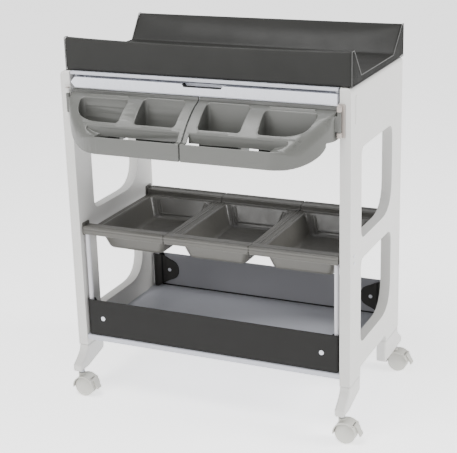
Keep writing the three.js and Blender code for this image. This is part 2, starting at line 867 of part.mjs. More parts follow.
function binGeometry() {
  const { inner, outer, depth, back, bottom, skin, lipFront } = bin;
  const high = 890;
  const casing = cut(prismZ(binPlan(0), bottom, 880, 10), aboveCrown(0), belowUnderside());
  const hollow = cut(prismZ(binPlan(skin), bottom - 1, 880, 10), aboveCrown(skin));
  const flange = 10; // depth of the short walls at the bin's back and inner end
  const endBlock = block(0, inner + skin + 0.2, -104, back - skin - 1, bottom - 1, high);
  const openEnd = cut(endBlock, aboveCrown(flange));
  const openTop = crownAt(back) - flange;
  const openBack = block(inner + 9, outer - 14, back - skin - 0.2, back + 1, bottom - 1, openTop);
  const shell = cut(casing, hollow, openEnd, openBack);
  const skirtFrom = towelSlot.inner - 4;
  const skirtTo = towelSlot.outer + 4;
  const skirt = block(skirtFrom, skirtTo, lipFront, lipFront + skin, bottom + 39, high);
  const within = cut(prismZ(binPlan(0.5), bottom + 0.5, 880, 10), aboveCrown(0.5), belowUnderside());
  const walls = common(join(skirt, pocket(30, 147, bottom + 8, skin), outerPocket(skin)), within);
  const slot = common(
    block(towelSlot.inner, towelSlot.outer, -depth, lipFront, bottom - 1, high),
    prismZ(binPlan(skin), bottom - 1, high, 10),
  );
  const body = cut(join(shell, walls), pocket(30, 147, bottom + 8, 0), outerPocket(0), slot);
  const barrelBottom = hinge.bottom + 14;
  const barrelHeight = hinge.top - 18 - barrelBottom;
  const barrel = rod(hinge.barrel, [hinge.x, hinge.y, barrelBottom], barrelHeight, 16);
  const armTop = barrelBottom + barrelHeight - 10;
  const arm = block(outer - 1, hinge.x, hinge.y - 5, hinge.y + 1, barrelBottom + 2, armTop);
  const bore = rod(hinge.bore, [hinge.x, hinge.y, barrelBottom - 1], barrelHeight + 2, 12);
  return cut(join(body, barrel, arm), bore);
}

function hingeBracket() {
  const { x, y, barrel, bore, bottom, top } = hinge;
  const plate = block(x - 5, x + 12, -3, -gap, bottom, top);
  const knuckle = (z) => join(
    rod(barrel, [x, y, z], 12, 16),
    block(x - 4, x + 5, y, -1, z, z + 12),
  );
  const body = join(plate, knuckle(bottom + 1), knuckle(top - 17));
  return cut(body, rod(bore, [x, y, bottom - 5], top - bottom + 10, 12));
}

function hingePin() {
  const { x, y, pin, barrel, bottom, top } = hinge;
  const shank = rod(pin, [x, y, bottom], top - bottom - 4, 12);
  const head = rod(barrel - 1, [x, y, top - 4.6], 2.6, 16);
  return join(shank, head);
}

function addBins() {
  addPair('front_bin', binGeometry(), greyPlastic);
  addPair('bin_hinge_bracket', hingeBracket(), whitePlastic);
  addPair('bin_hinge_pin', hingePin(), steel);
}

addSides();
add('shelf_board', shelfGeometry(), whiteBoard);
addTubes();
addGuards();
addTrayBars();
addTrays();
addTop();
addBins();
addCasters();

export default table;
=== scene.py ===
"""Changing table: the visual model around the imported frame.

Shapes are drawn in millimetres in the drawing frame of the part: x from the centre line,
y from the front plane of the side panels towards the back, z from the floor. row() turns
such points into the row frame's metres. Moulded plastic pieces are distance fields that
are meshed here, the mat is a grid of quads that a cloth simulation inflates, and plain
parts are the CAD solids with their edges rounded.
"""

import json
import math

import bmesh
import bpy
import numpy as np
from mathutils import Matrix, Vector

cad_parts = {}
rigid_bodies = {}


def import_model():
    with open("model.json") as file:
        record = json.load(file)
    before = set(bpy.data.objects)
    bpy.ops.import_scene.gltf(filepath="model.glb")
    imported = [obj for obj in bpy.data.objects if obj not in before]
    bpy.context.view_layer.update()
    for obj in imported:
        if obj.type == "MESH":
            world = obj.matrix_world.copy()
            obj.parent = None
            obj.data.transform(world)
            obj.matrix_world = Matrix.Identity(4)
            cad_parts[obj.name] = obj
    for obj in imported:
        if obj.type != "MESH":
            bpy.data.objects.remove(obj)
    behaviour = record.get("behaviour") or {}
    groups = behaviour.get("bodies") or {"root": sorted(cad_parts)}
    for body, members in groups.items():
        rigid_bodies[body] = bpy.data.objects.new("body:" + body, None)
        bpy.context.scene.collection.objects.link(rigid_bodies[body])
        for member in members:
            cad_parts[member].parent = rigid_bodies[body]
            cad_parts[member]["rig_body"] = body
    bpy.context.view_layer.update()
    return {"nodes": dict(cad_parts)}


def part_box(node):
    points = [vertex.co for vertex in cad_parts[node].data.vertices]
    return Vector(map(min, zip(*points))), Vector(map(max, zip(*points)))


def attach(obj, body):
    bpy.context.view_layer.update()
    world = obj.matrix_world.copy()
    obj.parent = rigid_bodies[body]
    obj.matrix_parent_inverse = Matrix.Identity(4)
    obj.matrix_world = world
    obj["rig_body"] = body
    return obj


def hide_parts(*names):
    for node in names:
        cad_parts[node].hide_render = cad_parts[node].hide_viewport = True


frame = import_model()
MM = 0.001
FRONT_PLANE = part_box("side_panel_right")[0].y


# ---- places ------------------------------------------------------------------------


def row(points):
    """Points in the drawing frame's millimetres as row frame metres."""
    return np.asarray(points, float) * MM + np.array([0.0, FRONT_PLANE, 0.0])


def drawn_box(node):
    """The corners of a CAD node in the drawing frame, in millimetres."""
    anchor = np.array([0.0, FRONT_PLANE, 0.0])
    return [(np.array(corner) - anchor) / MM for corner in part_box(node)]


# ---- materials ---------------------------------------------------------------------


def linear(level):
    """One sRGB channel, 0 to 255, as a linear value."""
    share = level / 255
    return share / 12.92 if share <= 0.04045 else ((share + 0.055) / 1.055) ** 2.4


def paint(red, green, blue, gain=1.0):
    """An sRGB colour as linear RGBA, dimmed by the gain to allow for the bright studio."""
    return (linear(red) * gain, linear(green) * gain, linear(blue) * gain, 1.0)


class Nodes:
    """A new material's node tree, with its Principled shader."""

    def __init__(self, name):
        self.material = bpy.data.materials.new(name)
        self.material.use_nodes = True
        self.tree = self.material.node_tree
        self.shader = self.tree.nodes["Principled BSDF"]
        self.place = self.add("ShaderNodeTexCoord").outputs["Object"]

    def add(self, kind, links=None, **values):
        node = self.tree.nodes.new(kind)
        for key, value in values.items():
            if key in node.inputs:
                node.inputs[key].default_value = value
            else:
                setattr(node, key, value)
        for key, source in (links or {}).items():
            self.tree.links.new(source, node.inputs[key])
        return node

    def noise(self, scale, detail=4.0, roughness=0.55, place=None):
        links = {"Vector": place or self.place}
        return self.add("ShaderNodeTexNoise", links, Scale=scale, Detail=detail, Roughness=roughness)

    def ramp(self, source, low, high, start=0.0, end=1.0):
        """A colour ramp from low to high."""
        node = self.add("ShaderNodeValToRGB", {"Fac": source})
        stops = node.color_ramp.elements
        stops[0].position, stops[0].color = start, low
        stops[1].position, stops[1].color = end, high
        return node.outputs["Color"]

    def spread(self, source, low, high, start=0.3, end=0.7):
        """The source's range start to end, mapped to low to high."""
        node = self.add("ShaderNodeMapRange", {"Value": source})
        for key, value in (("From Min", start), ("From Max", end), ("To Min", low), ("To Max", high)):
            node.inputs[key].default_value = value
        return node.outputs["Result"]

    def bump(self, source, strength, distance, below=None):
        links = {"Height": source}
        if below is not None:
            links["Normal"] = below
        return self.add("ShaderNodeBump", links, Strength=strength, Distance=distance).outputs["Normal"]

    def set(self, **values):
        for key, value in values.items():
            socket = self.shader.inputs[key.replace("_", " ")]
            if hasattr(value, "node"):
                self.tree.links.new(value, socket)
            else:
                socket.default_value = value


def moulded_plastic(name, colour, roughness, texture=0.05, shade=0.94, scuffs=0.06, shine=0.5):
    """Injection-moulded plastic: a fine spark-eroded texture, faint flow clouds and scuffs."""
    nodes = Nodes(name)
    clouds = nodes.noise(7.0, 3.0).outputs["Fac"]
    darker = tuple(channel * shade for channel in colour[:3]) + (1.0,)
    fine = nodes.noise(1400.0, 2.0).outputs["Fac"]
    soft = nodes.noise(45.0, 5.0, 0.7).outputs["Fac"]
    nodes.set(
        Base_Color=nodes.ramp(clouds, darker, colour, 0.3, 0.7),
        Roughness=nodes.spread(soft, roughness - scuffs, roughness + scuffs),
        Normal=nodes.bump(fine, texture, 0.0006, nodes.bump(soft, 0.04, 0.002)),
        Specular_IOR_Level=shine,
    )
    return nodes.material


def coated_fabric(name, colour, shine=0.2):
    """Wipe-clean PVC on fabric: a fine leather grain with soft creasing and sheen."""
    nodes = Nodes(name)
    cells = nodes.add("ShaderNodeTexVoronoi", {"Vector": nodes.place}, Scale=620.0)
    cells.feature = "DISTANCE_TO_EDGE"
    grain = nodes.spread(cells.outputs["Distance"], 0.0, 1.0, 0.0, 0.12)
    pores = nodes.noise(1700.0, 2.0).outputs["Fac"]
    waves = nodes.noise(16.0, 3.0).outputs["Fac"]
    clouds = nodes.noise(5.0, 3.0).outputs["Fac"]
    darker = tuple(channel * 0.86 for channel in colour[:3]) + (1.0,)
    normal = nodes.bump(waves, 0.12, 0.004)
    normal = nodes.bump(grain, 0.16, 0.0005, normal)
    nodes.set(
        Base_Color=nodes.ramp(clouds, darker, colour, 0.3, 0.7),
        Roughness=nodes.spread(waves, 0.4, 0.52),
        Normal=nodes.bump(pores, 0.08, 0.0003, normal),
        Specular_IOR_Level=shine,
    )
    return nodes.material


def brushed_metal(name, colour, roughness):
    """Zinc-plated steel with fine drawn lines."""
    nodes = Nodes(name)
    stretch = nodes.add("ShaderNodeMapping", {"Vector": nodes.place}, Scale=(40.0, 900.0, 900.0))
    lines = nodes.noise(1.0, 3.0, place=stretch.outputs["Vector"]).outputs["Fac"]
    clouds = nodes.noise(30.0, 4.0).outputs["Fac"]
    darker = tuple(channel * 0.8 for channel in colour[:3]) + (1.0,)
    nodes.set(
        Base_Color=nodes.ramp(clouds, darker, colour, 0.3, 0.7),
        Metallic=1.0,
        Roughness=nodes.spread(lines, roughness - 0.08, roughness + 0.1),
        Normal=nodes.bump(lines, 0.05, 0.0004),
    )
    return nodes.material


WHITE = moulded_plastic("white_moulding", paint(196, 195, 192), 0.42, 0.05, 0.975)
GLOSS_WHITE = moulded_plastic("white_gloss", paint(214, 216, 224), 0.28, 0.02, 0.98, 0.04)
# a near-black grey used as painted shade, on the deck's rebate face and the floor of the rail's finger slit
PAINTED_SHADE_DARK = moulded_plastic("painted_shade_dark", paint(58, 57, 58), 0.7, 0.1, 0.9, shine=0.2)
BOARD = moulded_plastic("coated_board", paint(178, 180, 188), 0.33, 0.03, 0.965)
TUBE = moulded_plastic("powder_coat", paint(184, 183, 188), 0.35, 0.09, 0.97)
HINGE = moulded_plastic("hinge_moulding", paint(160, 152, 146), 0.45, 0.05, 0.96)
BIN_GREY = moulded_plastic("bin_grey", paint(140, 141, 136, 0.355), 0.36, 0.07, 0.95)
BIN_UNLIT = moulded_plastic("bin_grey_unlit", paint(140, 141, 136, 0.06), 0.6, 0.07, 0.95, shine=0.05)
TRAY_GREY = moulded_plastic("tray_grey", paint(119, 117, 111, 0.45), 0.34, 0.06, 0.94)
VINYL = coated_fabric("mat_vinyl", paint(76, 76, 73, 0.24))
# a darker copy of the vinyl for the mat's end faces: painted shade
VINYL_PAINTED_SHADE = coated_fabric("mat_vinyl_painted_shade", paint(76, 76, 73, 0.2), 0.02)
# a paler copy of the vinyl for the welded beads: the bead is real, its lighter colour is a painted highlight
VINYL_WELD_PAINTED_HIGHLIGHT = moulded_plastic("mat_weld_painted_highlight", paint(118, 118, 116, 0.3), 0.4, 0.05, 0.95)
GUARD = moulded_plastic("guard_sheet", paint(68, 67, 65, 0.2), 0.42, 0.08, 0.9, shine=0.16)
# a lighter copy of the guard grey for the tabs' inward faces: painted light that lifts their shade
GUARD_TAB_PAINTED_LIGHT = moulded_plastic("guard_tab_painted_light", paint(68, 67, 65, 0.8), 0.42, 0.08, 0.9, shine=0.16)
GUARD_INSIDE = moulded_plastic("guard_inside", paint(142, 142, 147), 0.45, 0.08, 0.95)
CASTER = moulded_plastic("caster_nylon", paint(186, 185, 178), 0.38, 0.05, 0.96)
STEEL = brushed_metal("zinc_steel", paint(190, 192, 198), 0.34)


# ---- pieces ------------------------------------------------------------------------


def new_piece(name, mesh, body, material, replaced=()):
    """A piece that rides a body and stands in for CAD nodes. No material keeps the mesh's own."""
    piece = bpy.data.objects.new(name, mesh)
    bpy.context.scene.collection.objects.link(piece)
    if material is not None:
        mesh.materials.clear()
        mesh.materials.append(material)
    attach(piece, body)
    if replaced:
        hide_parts(*replaced)
    return piece


def mesh_of(name, vertices, faces, smooth=True):
    """A mesh from points in metres."""
    mesh = bpy.data.meshes.new(name)
    faces = faces.tolist() if isinstance(faces, np.ndarray) else faces
    mesh.from_pydata(np.asarray(vertices).tolist(), [], faces)
    mesh.update()
    if smooth:
        mesh.shade_smooth()
    return mesh


def settled(piece):
    """The piece's mesh with its modifiers applied."""
    bpy.context.view_layer.update()
    evaluated = piece.evaluated_get(bpy.context.evaluated_depsgraph_get())
    mesh = bpy.data.meshes.new_from_object(evaluated)
    piece.modifiers.clear()
    piece.data = mesh
    return mesh


def body_of_node(node):
    """The body that a CAD node moves with."""
    return frame["nodes"][node]["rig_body"]


def rounded_part(node, material, width, segments=3, angle=32):
    """A CAD node's shape with its flat faces merged and its edges rounded."""
    solid = bmesh.new()
    solid.from_mesh(frame["nodes"][node].data)
    bmesh.ops.remove_doubles(solid, verts=solid.verts, dist=2e-5)
    bmesh.ops.dissolve_limit(
        solid,
        angle_limit=math.radians(0.7),
        verts=solid.verts,
        edges=solid.edges,
        use_dissolve_boundaries=False,
    )
    mesh = bpy.data.meshes.new(f"{node}_finish")
    solid.to_mesh(mesh)
    solid.free()
    mesh.shade_smooth()
    piece = new_piece(f"{node}_finish", mesh, body_of_node(node), material, [node])
    bevel = piece.modifiers.new("edges", "BEVEL")
    bevel.width = width * MM
    bevel.segments = segments
    bevel.limit_method = "ANGLE"
    bevel.angle_limit = math.radians(angle)
    bevel.use_clamp_overlap = True
    bevel.miter_outer = "MITER_ARC"
    normals = piece.modifiers.new("normals", "WEIGHTED_NORMAL")
    normals.keep_sharp = True
    normals.weight = 80
    return piece


# ---- distance fields ---------------------------------------------------------------
# A field takes p = (x, y, z), arrays in millimetres, and is negative inside the shape.


def rectangle_field(u, v, low, high, radius=0.0):
    """A rectangle in (u, v) between two corners, with round corners."""
    du = np.abs(u - (low[0] + high[0]) / 2) - ((high[0] - low[0]) / 2 - radius)
    dv = np.abs(v - (low[1] + high[1]) / 2) - ((high[1] - low[1]) / 2 - radius)
    outside = np.hypot(np.maximum(du, 0), np.maximum(dv, 0))
    return outside + np.minimum(np.maximum(du, dv), 0) - radius


def polygon_field(u, v, corners):
    """A polygon in (u, v)."""
    near = np.inf
    inside = False
    for (u0, v0), (u1, v1) in zip(corners, corners[1:] + corners[:1]):
        du, dv = u1 - u0, v1 - v0
        along = np.clip(((u - u0) * du + (v - v0) * dv) / (du * du + dv * dv), 0, 1)
        near = np.minimum(near, (u - u0 - along * du) ** 2 + (v - v0 - along * dv) ** 2)
        if dv != 0:
            inside = inside ^ (((v0 > v) != (v1 > v)) & (u < u0 + (v - v0) * du / dv))
    return np.where(inside, -1.0, 1.0) * np.sqrt(near)


def slab(u, low, high):
    """What lies between two levels."""
    return np.abs(u - (low + high) / 2) - (high - low) / 2


def both(a, b, radius=0.0):
    """What two shapes share, with the new edge rounded."""
    if np.ndim(radius) == 0 and radius == 0:
        return np.maximum(a, b)
    corner = np.hypot(np.maximum(a + radius, 0), np.maximum(b + radius, 0))
    return np.minimum(np.maximum(a, b), -radius) + corner


def either(a, b, radius=0.0):
    """Both shapes together, with the inner edge filled."""
    return -both(-a, -b, radius)


def without(a, b, radius=0.0):
    """The first shape with the second cut out of it."""
    return both(a, -b, radius)


def capsule(p, start, end, radius):
    """A round bar with round ends."""
    start, end = np.array(start, float), np.array(end, float)
    line = end - start
    rel = [q - s for q, s in zip(p, start)]
    along = np.clip(sum(r * c for r, c in zip(rel, line)) / (line @ line), 0, 1)
    return np.sqrt(sum((r - along * c) ** 2 for r, c in zip(rel, line))) - radius


def surface_net(values, low, step):
    """Vertices and quads on the zero level of values sampled on a grid."""
    inside = values < 0
    size = np.array(values.shape)
    offsets = np.array([[i, j, k] for i in (0, 1) for j in (0, 1) for k in (0, 1)])
    stacked = sum(
        inside[i:size[0] - 1 + i, j:size[1] - 1 + j, k:size[2] - 1 + k].astype(np.int8) for i, j, k in offsets
    )
    active = (stacked > 0) & (stacked < 8)
    cells = np.argwhere(active)
    index = np.full(active.shape, -1, np.int64)
    index[active] = np.arange(len(cells))
    total = np.zeros((len(cells), 3))
    count = np.zeros(len(cells))
    for start in offsets:
        for axis in range(3):
            if start[axis]:
                continue
            end = start.copy()
            end[axis] = 1
            a = values[tuple((cells + start).T)]
            b = values[tuple((cells + end).T)]
            crossing = (a < 0) != (b < 0)
            share = np.where(crossing, a / np.where(crossing, a - b, 1), 0)
            point = start + share[:, None] * (end - start)
            total += np.where(crossing[:, None], point, 0)
            count += crossing
    vertices = np.array(low) + (cells + total / count[:, None]) * step
    quads = []
    for axis in range(3):
        second, third = (axis + 1) % 3, (axis + 2) % 3
        ahead = np.take(inside, range(1, size[axis]), axis)
        here = np.take(inside, range(0, size[axis] - 1), axis)
        edges = np.argwhere(ahead != here)
        free = np.ones(len(edges), bool)
        for other in (second, third):
            free &= (edges[:, other] > 0) & (edges[:, other] < size[other] - 1)
        edges = edges[free]
        corners = []
        for back_second, back_third in ((1, 1), (0, 1), (0, 0), (1, 0)):
            cell = edges.copy()
            cell[:, second] -= back_second
            cell[:, third] -= back_third
            corners.append(index[tuple(cell.T)])
        quad = np.stack(corners, 1)
        flip = ~here[tuple(edges.T)]
        quad[flip] = quad[flip][:, ::-1]
        quads.append(quad)
    return vertices, np.concatenate(quads)


def on_surface(field, vertices, step):
    """The vertices moved onto the field's zero level along its slope."""
    reach = 0.02
    here = field(tuple(vertices.T))
    ahead = [field(tuple(vertices.T + reach * np.eye(3)[axis][:, None])) for axis in range(3)]
    slope = np.stack([there - here for there in ahead], 1) / reach
    steepness = np.maximum((slope ** 2).sum(1), 0.2)
    move = np.clip(here / steepness, -0.3 * step, 0.3 * step)
    return vertices - move[:, None] * slope


def moulding(name, field, low, high, step, flat=1.2):
    """A mesh of the field, in the row frame, with its flat areas merged."""
    axes = [np.arange(a, b + step, step) for a, b in zip(low, high)]
    grid = (axes[0][:, None, None], axes[1][None, :, None], axes[2][None, None, :])
    shape = tuple(len(axis) for axis in axes)
    values = np.array(np.broadcast_to(field(grid), shape), np.float64)
    vertices, quads = surface_net(values, low, step)
    vertices = on_surface(field, vertices, step)
    mesh = mesh_of(name, row(vertices), quads)
    carrier = bpy.data.objects.new(f"{name}_carrier", mesh)
    bpy.context.scene.collection.objects.link(carrier)
    thin = carrier.modifiers.new("thin", "DECIMATE")
    thin.decimate_type = "DISSOLVE"
    thin.angle_limit = math.radians(flat)
    carrier.modifiers.new("triangles", "TRIANGULATE").quad_method = "BEAUTY"
    normals = carrier.modifiers.new("normals", "WEIGHTED_NORMAL")
    normals.weight = 80
    mesh = settled(carrier)
    bpy.data.objects.remove(carrier)
    mesh.name = name
    return mesh


def cubic(t, points):
    """The place at t, 0 to 1, on the cubic curve of four points in a plane."""
    weights = ((1 - t) ** 3, 3 * (1 - t) ** 2 * t, 3 * (1 - t) * t * t, t ** 3)
    return tuple(sum(w * point[k] for w, point in zip(weights, points)) for k in (0, 1))


def quadratic(t, points):
    """The place at t, 0 to 1, on the quadratic curve of three points in a plane."""
    weights = ((1 - t) ** 2, 2 * (1 - t) * t, t * t)
    return tuple(sum(w * point[k] for w, point in zip(weights, points)) for k in (0, 1))


def mirror_mesh(mesh, name):
    copy = mesh.copy()
    copy.name = name
    copy.transform(Matrix.Scale(-1, 4, Vector((1, 0, 0))))
    copy.flip_normals()
    return copy


# ---- camera, lights and floor ------------------------------------------------------


def add_camera():
    """A long lens in front of the object, a little to its right and above it."""
    data = bpy.data.cameras.new("camera")
    data.lens = 96.35
    data.sensor_width = 36.0
    camera = bpy.data.objects.new("camera", data)
    bpy.context.scene.collection.objects.link(camera)
    place = Vector(row([1304.3, -2704.1, 1539.0]))
    target = Vector(row([-14.6, 190.1, 473.3]))
    roll = math.radians(-1.652)
    ahead = (target - place).normalized()
    side = ahead.cross(Vector((0, 0, 1))).normalized()
    rise = side.cross(ahead)
    right = side * math.cos(roll) + rise * math.sin(roll)
    up = rise * math.cos(roll) - side * math.sin(roll)
    turn = Matrix((right, up, -ahead)).transposed()
    camera.matrix_world = Matrix.Translation(place) @ turn.to_4x4()
    bpy.context.scene.camera = camera


def add_light(name, place, target, size, power):
    data = bpy.data.lights.new(name, "AREA")
    data.shape = "RECTANGLE"
    data.size, data.size_y = size
    data.energy = power
    light = bpy.data.objects.new(name, data)
    bpy.context.scene.collection.objects.link(light)
    light.location = place
    light.rotation_euler = (Vector(target) - Vector(place)).to_track_quat("-Z", "Y").to_euler()


def add_studio():
    """Three soft lights in a white room, over a pale floor."""
    world = bpy.data.worlds.new("studio")
    bpy.context.scene.world = world
    world.use_nodes = True
    sky = world.node_tree.nodes["Background"]
    sky.inputs["Color"].default_value = (1.0, 1.0, 1.0, 1.0)
    sky.inputs["Strength"].default_value = 0.66
    add_light("key", (-1.2, -3.0, 1.5), (0, 0, 0.55), (1.4, 1.4), 38)
    add_light("right", (3.0, 0.6, 1.9), (0, 0, 0.7), (1.1, 1.1), 105)
    add_light("overhead", (-0.3, -0.9, 2.9), (0, 0, 0.5), (1.8, 1.4), 90)
    floor_material = Nodes("floor_paper")
    clouds = floor_material.noise(3.0, 2.0).outputs["Fac"]
    floor_material.set(
        Base_Color=floor_material.ramp(clouds, (0.86, 0.86, 0.86, 1), (0.9, 0.9, 0.9, 1)),
        Roughness=0.9,
        Emission_Color=(1.0, 1.0, 1.0, 1.0),
        Emission_Strength=1.5,
    )
    reach = 30.0
    corners = [(-reach, -reach, 0), (reach, -reach, 0), (reach, reach, 0), (-reach, reach, 0)]
    mesh = mesh_of("floor", corners, [(0, 1, 2, 3)], smooth=False)
    mesh.materials.append(floor_material.material)
    floor = bpy.data.objects.new("floor", mesh)
    bpy.context.scene.collection.objects.link(floor)


# ---- frame -------------------------------------------------------------------------


def add_frame():
    """The panels, feet, tubes, boards, rails and the bars that carry the trays."""
    for side in ("left", "right"):
        rounded_part(f"side_panel_{side}", WHITE, 3.2, 4)
        rounded_part(f"deck_runner_{side}", STEEL, 0.6, 2)
        for place in ("front", "rear"):
            rounded_part(f"upright_tube_{place}_{side}", TUBE, 0.5, 2)
            add_foot(place, side)
        for height in ("lower", "upper"):
            rounded_part(f"bar_screw_{height}_{side}", GLOSS_WHITE, 0.4, 2)
    rounded_part("shelf_board", BOARD, 1.2, 3)
    add_deck()
    add_front_rail()
    rounded_part("top_rail_rear", WHITE, 1.5, 3)
    for place in ("front", "rear"):
        rounded_part(f"tray_bar_{place}", TRAY_GREY, 0.6, 2)


def prism(corners, across, thickness):
    """A closed prism: a polygon in (u, v) given by its corners, spread between two levels."""
    count = len(corners)
    points = [across(u, v, level) for level in thickness for u, v in corners]
    faces = [list(range(count))[::-1], list(range(count, 2 * count))]
    faces += [[i, (i + 1) % count, (i + 1) % count + count, i + count] for i in range(count)]
    mesh = mesh_of("prism", row(points), faces)
    solid = bmesh.new()
    solid.from_mesh(mesh)
    bmesh.ops.recalc_face_normals(solid, faces=solid.faces)
    solid.to_mesh(mesh)
    solid.free()
    return mesh


def soften(piece, width, segments=3):
    """Rounds a drawn piece's edges."""
    bevel = piece.modifiers.new("edges", "BEVEL")
    bevel.width = width * MM
    bevel.segments = segments
    bevel.limit_method = "ANGLE"
    bevel.angle_limit = math.radians(20)
    piece.modifiers.new("normals", "WEIGHTED_NORMAL").keep_sharp = True


def add_deck():
    """The board that carries the mat, with a rebate under its front edge that reads as a dark line; the
    rebate's recessed face is in painted shade.
    """
    low, high = drawn_box("deck")
    rebate, rise = 20.0, 5.2
    side = [(low[1], low[2] + rise), (low[1] + rebate, low[2] + rise), (low[1] + rebate, low[2])]
    side += [(high[1], low[2]), (high[1], high[2]), (low[1], high[2])]
    mesh = prism(side, lambda u, v, x: (x, u, v), (low[0], high[0]))
    mesh.name = "deck_finish"
    board = new_piece("deck_finish", mesh, "deck", BOARD, ["deck"])
    mesh.materials.append(PAINTED_SHADE_DARK)
    # painted shade on the rebate's recessed front face
    for face in mesh.polygons:
        if face.normal.y < -0.9 and face.center.y > (low[1] + rebate / 2) * MM + FRONT_PLANE:
            face.material_index = 1
    soften(board, 1.2)


def add_front_rail():
    """The rail under the deck: chamfered left end, finger slit in its top edge, whose floor is in painted
    shade.
    """
    low, high = drawn_box("top_rail_front")
    cut, middle, half, depth = 12.0, 12.0, 56.0, 7.0
    top = [(middle + half, high[2]), (middle + half - 5, high[2] - depth)]
    top += [(middle - half + 5, high[2] - depth), (middle - half, high[2])]
    outline = [(low[0], (low[2] + high[2]) / 2), (low[0] + cut, low[2]), (high[0] - 1, low[2])]
    outline += [(high[0], low[2] + 1.5), (high[0], high[2] - 2.5), (high[0] - 1.5, high[2])]
    outline += top + [(low[0] + cut, high[2])]
    mesh = prism(outline, lambda u, v, y: (u, y, v), (low[1], high[1]))
    name, slot = "top_rail_front_finish", "white_gloss_plastic"
    mesh.name = name
    rail = new_piece(name, mesh, "frame", GLOSS_WHITE, ["top_rail_front"])
    mesh.materials.append(PAINTED_SHADE_DARK)
    # painted shade on the floor of the finger slit
    for face in mesh.polygons:
        in_slit = abs(face.center.x / MM - middle) < half and face.normal.z > 0.3
        if in_slit and face.center.z < (high[2] - 2) * MM:
            face.material_index = 1
    soften(rail, 1.6)


def foot_outline(depth, top, bottom, reach, front):
    """The foot in (y, z), its nose towards -y: an S-curve down to the nose, then the sole."""
    steps = 12
    nose = [(0, top), (-1, top - 21), (-22, top - 31), (-reach, top - 47)]
    points = [cubic(i / steps, nose) for i in range(steps + 1)]
    points.append((-reach, bottom))
    heel = [(depth - 8, bottom), (depth, bottom), (depth, bottom + 8)]
    if front:
        points.append((depth - 88, bottom))
        heel = [(depth - 9, bottom + 19), (depth, bottom + 21), (depth, bottom + 29)]
    points += [quadratic(i / steps, heel) for i in range(steps + 1)]
    points.append((depth, top))
    return points


def add_foot(place, side):
    """One foot with a bore for its caster's stem."""
    node = f"foot_{place}_{side}"
    low, high = drawn_box(node)
    bore_radius, bore_depth = 5.6, 20
    panel_back = drawn_box("side_panel_right")[1][1]
    front = place == "front"
    reach = -low[1] if front else high[1] - panel_back
    depth = high[1] if front else panel_back - low[1]
    corners = foot_outline(depth, high[2], low[2], reach, front)
    stem_low, stem_high = drawn_box(f"caster_stem_{place}_{side}")
    stem = (stem_low + stem_high) / 2

    def field(p):
        x, y, z = p
        across = slab(x, low[0], high[0])
        y_in = y if front else panel_back - y
        body = both(polygon_field(y_in, z, corners), across, 6.0)
        body = both(body, z - high[2], 0.8)
        bore = np.hypot(x - stem[0], y - stem[1]) - bore_radius
        return without(body, both(bore, z - (low[2] + bore_depth)), 1.2)

    mesh = moulding(f"{node}_finish", field, low - 3, high + 3, 1.6)
    new_piece(f"{node}_finish", mesh, "frame", WHITE, [node])


# ---- guards ------------------------------------------------------------------------


def point_tabs(mesh, low, high, front):
    """Straightens the tabs' edges, from full height at the tube to a small round point."""
    tube, reach, middle = 359.0, 70.0, (low[2] + high[2]) / 2
    half = high[2] - middle
    # the tab's edge in the CAD: distance from the tube, and height above the middle
    edge = [(6, half), (40, half - 8), (reach, 26), (reach - 1, 0)]
    away, rise = cubic(np.linspace(0, 1, 60), edge)
    for vertex in mesh.vertices:
        x = vertex.co.x / MM
        y = (vertex.co.y - FRONT_PLANE) / MM
        z = vertex.co.z / MM
        depth = y - low[1] if front else high[1] - y
        distance = tube - abs(x)
        if depth < 2.3 or distance < 6 or distance > reach + 1:
            continue
        now = max(float(np.interp(distance, away, rise)), 3.0)
        end = max(0.0, 1 - ((distance - 46) / 24) ** 2) ** 0.5 if distance > 46 else 1.0
        wanted = (half - (half - 30) * (min(distance, 46) - 6) / 40) * end
        vertex.co.z = (middle + (z - middle) * min(1.0, wanted / now)) * MM


def add_guards():
    """The two guard sheets, paler on their inner faces, with their tabs and snap rivets. The tabs' inward
    faces take a lighter copy of the guard grey as painted light.
    """
    for place in ("front", "rear"):
        guard = rounded_part(f"shelf_guard_{place}", GUARD, 0.5, 2, 50)
        guard.data.materials.append(GUARD_INSIDE)
        guard.data.materials.append(GUARD_TAB_PAINTED_LIGHT)
        low, high = drawn_box(f"shelf_guard_{place}")
        point_tabs(guard.data, low, high, place == "front")
        inner = high[1] if place == "front" else low[1]
        facing = 1 if place == "front" else -1
        outer = low[1] if place == "front" else high[1]
        tabs = high[0] - 95
        for face in guard.data.polygons:
            centre_x = face.center.x / MM
            centre_y = (face.center.y - FRONT_PLANE) / MM
            looks_in = face.normal.y * facing > 0.7
            near_sheet = abs(centre_y - outer) < 4 and abs(centre_y - inner) > 6
            if looks_in and near_sheet and abs(centre_x) < tabs:
                face.material_index = 1
            # painted light: the tabs' inward faces take the lighter copy of the guard grey
            elif looks_in and not near_sheet:
                face.material_index = 2
        for side in ("left", "right"):
            rounded_part(f"guard_rivet_{place}_{side}", GLOSS_WHITE, 0.5, 2)


# ---- trays -------------------------------------------------------------------------


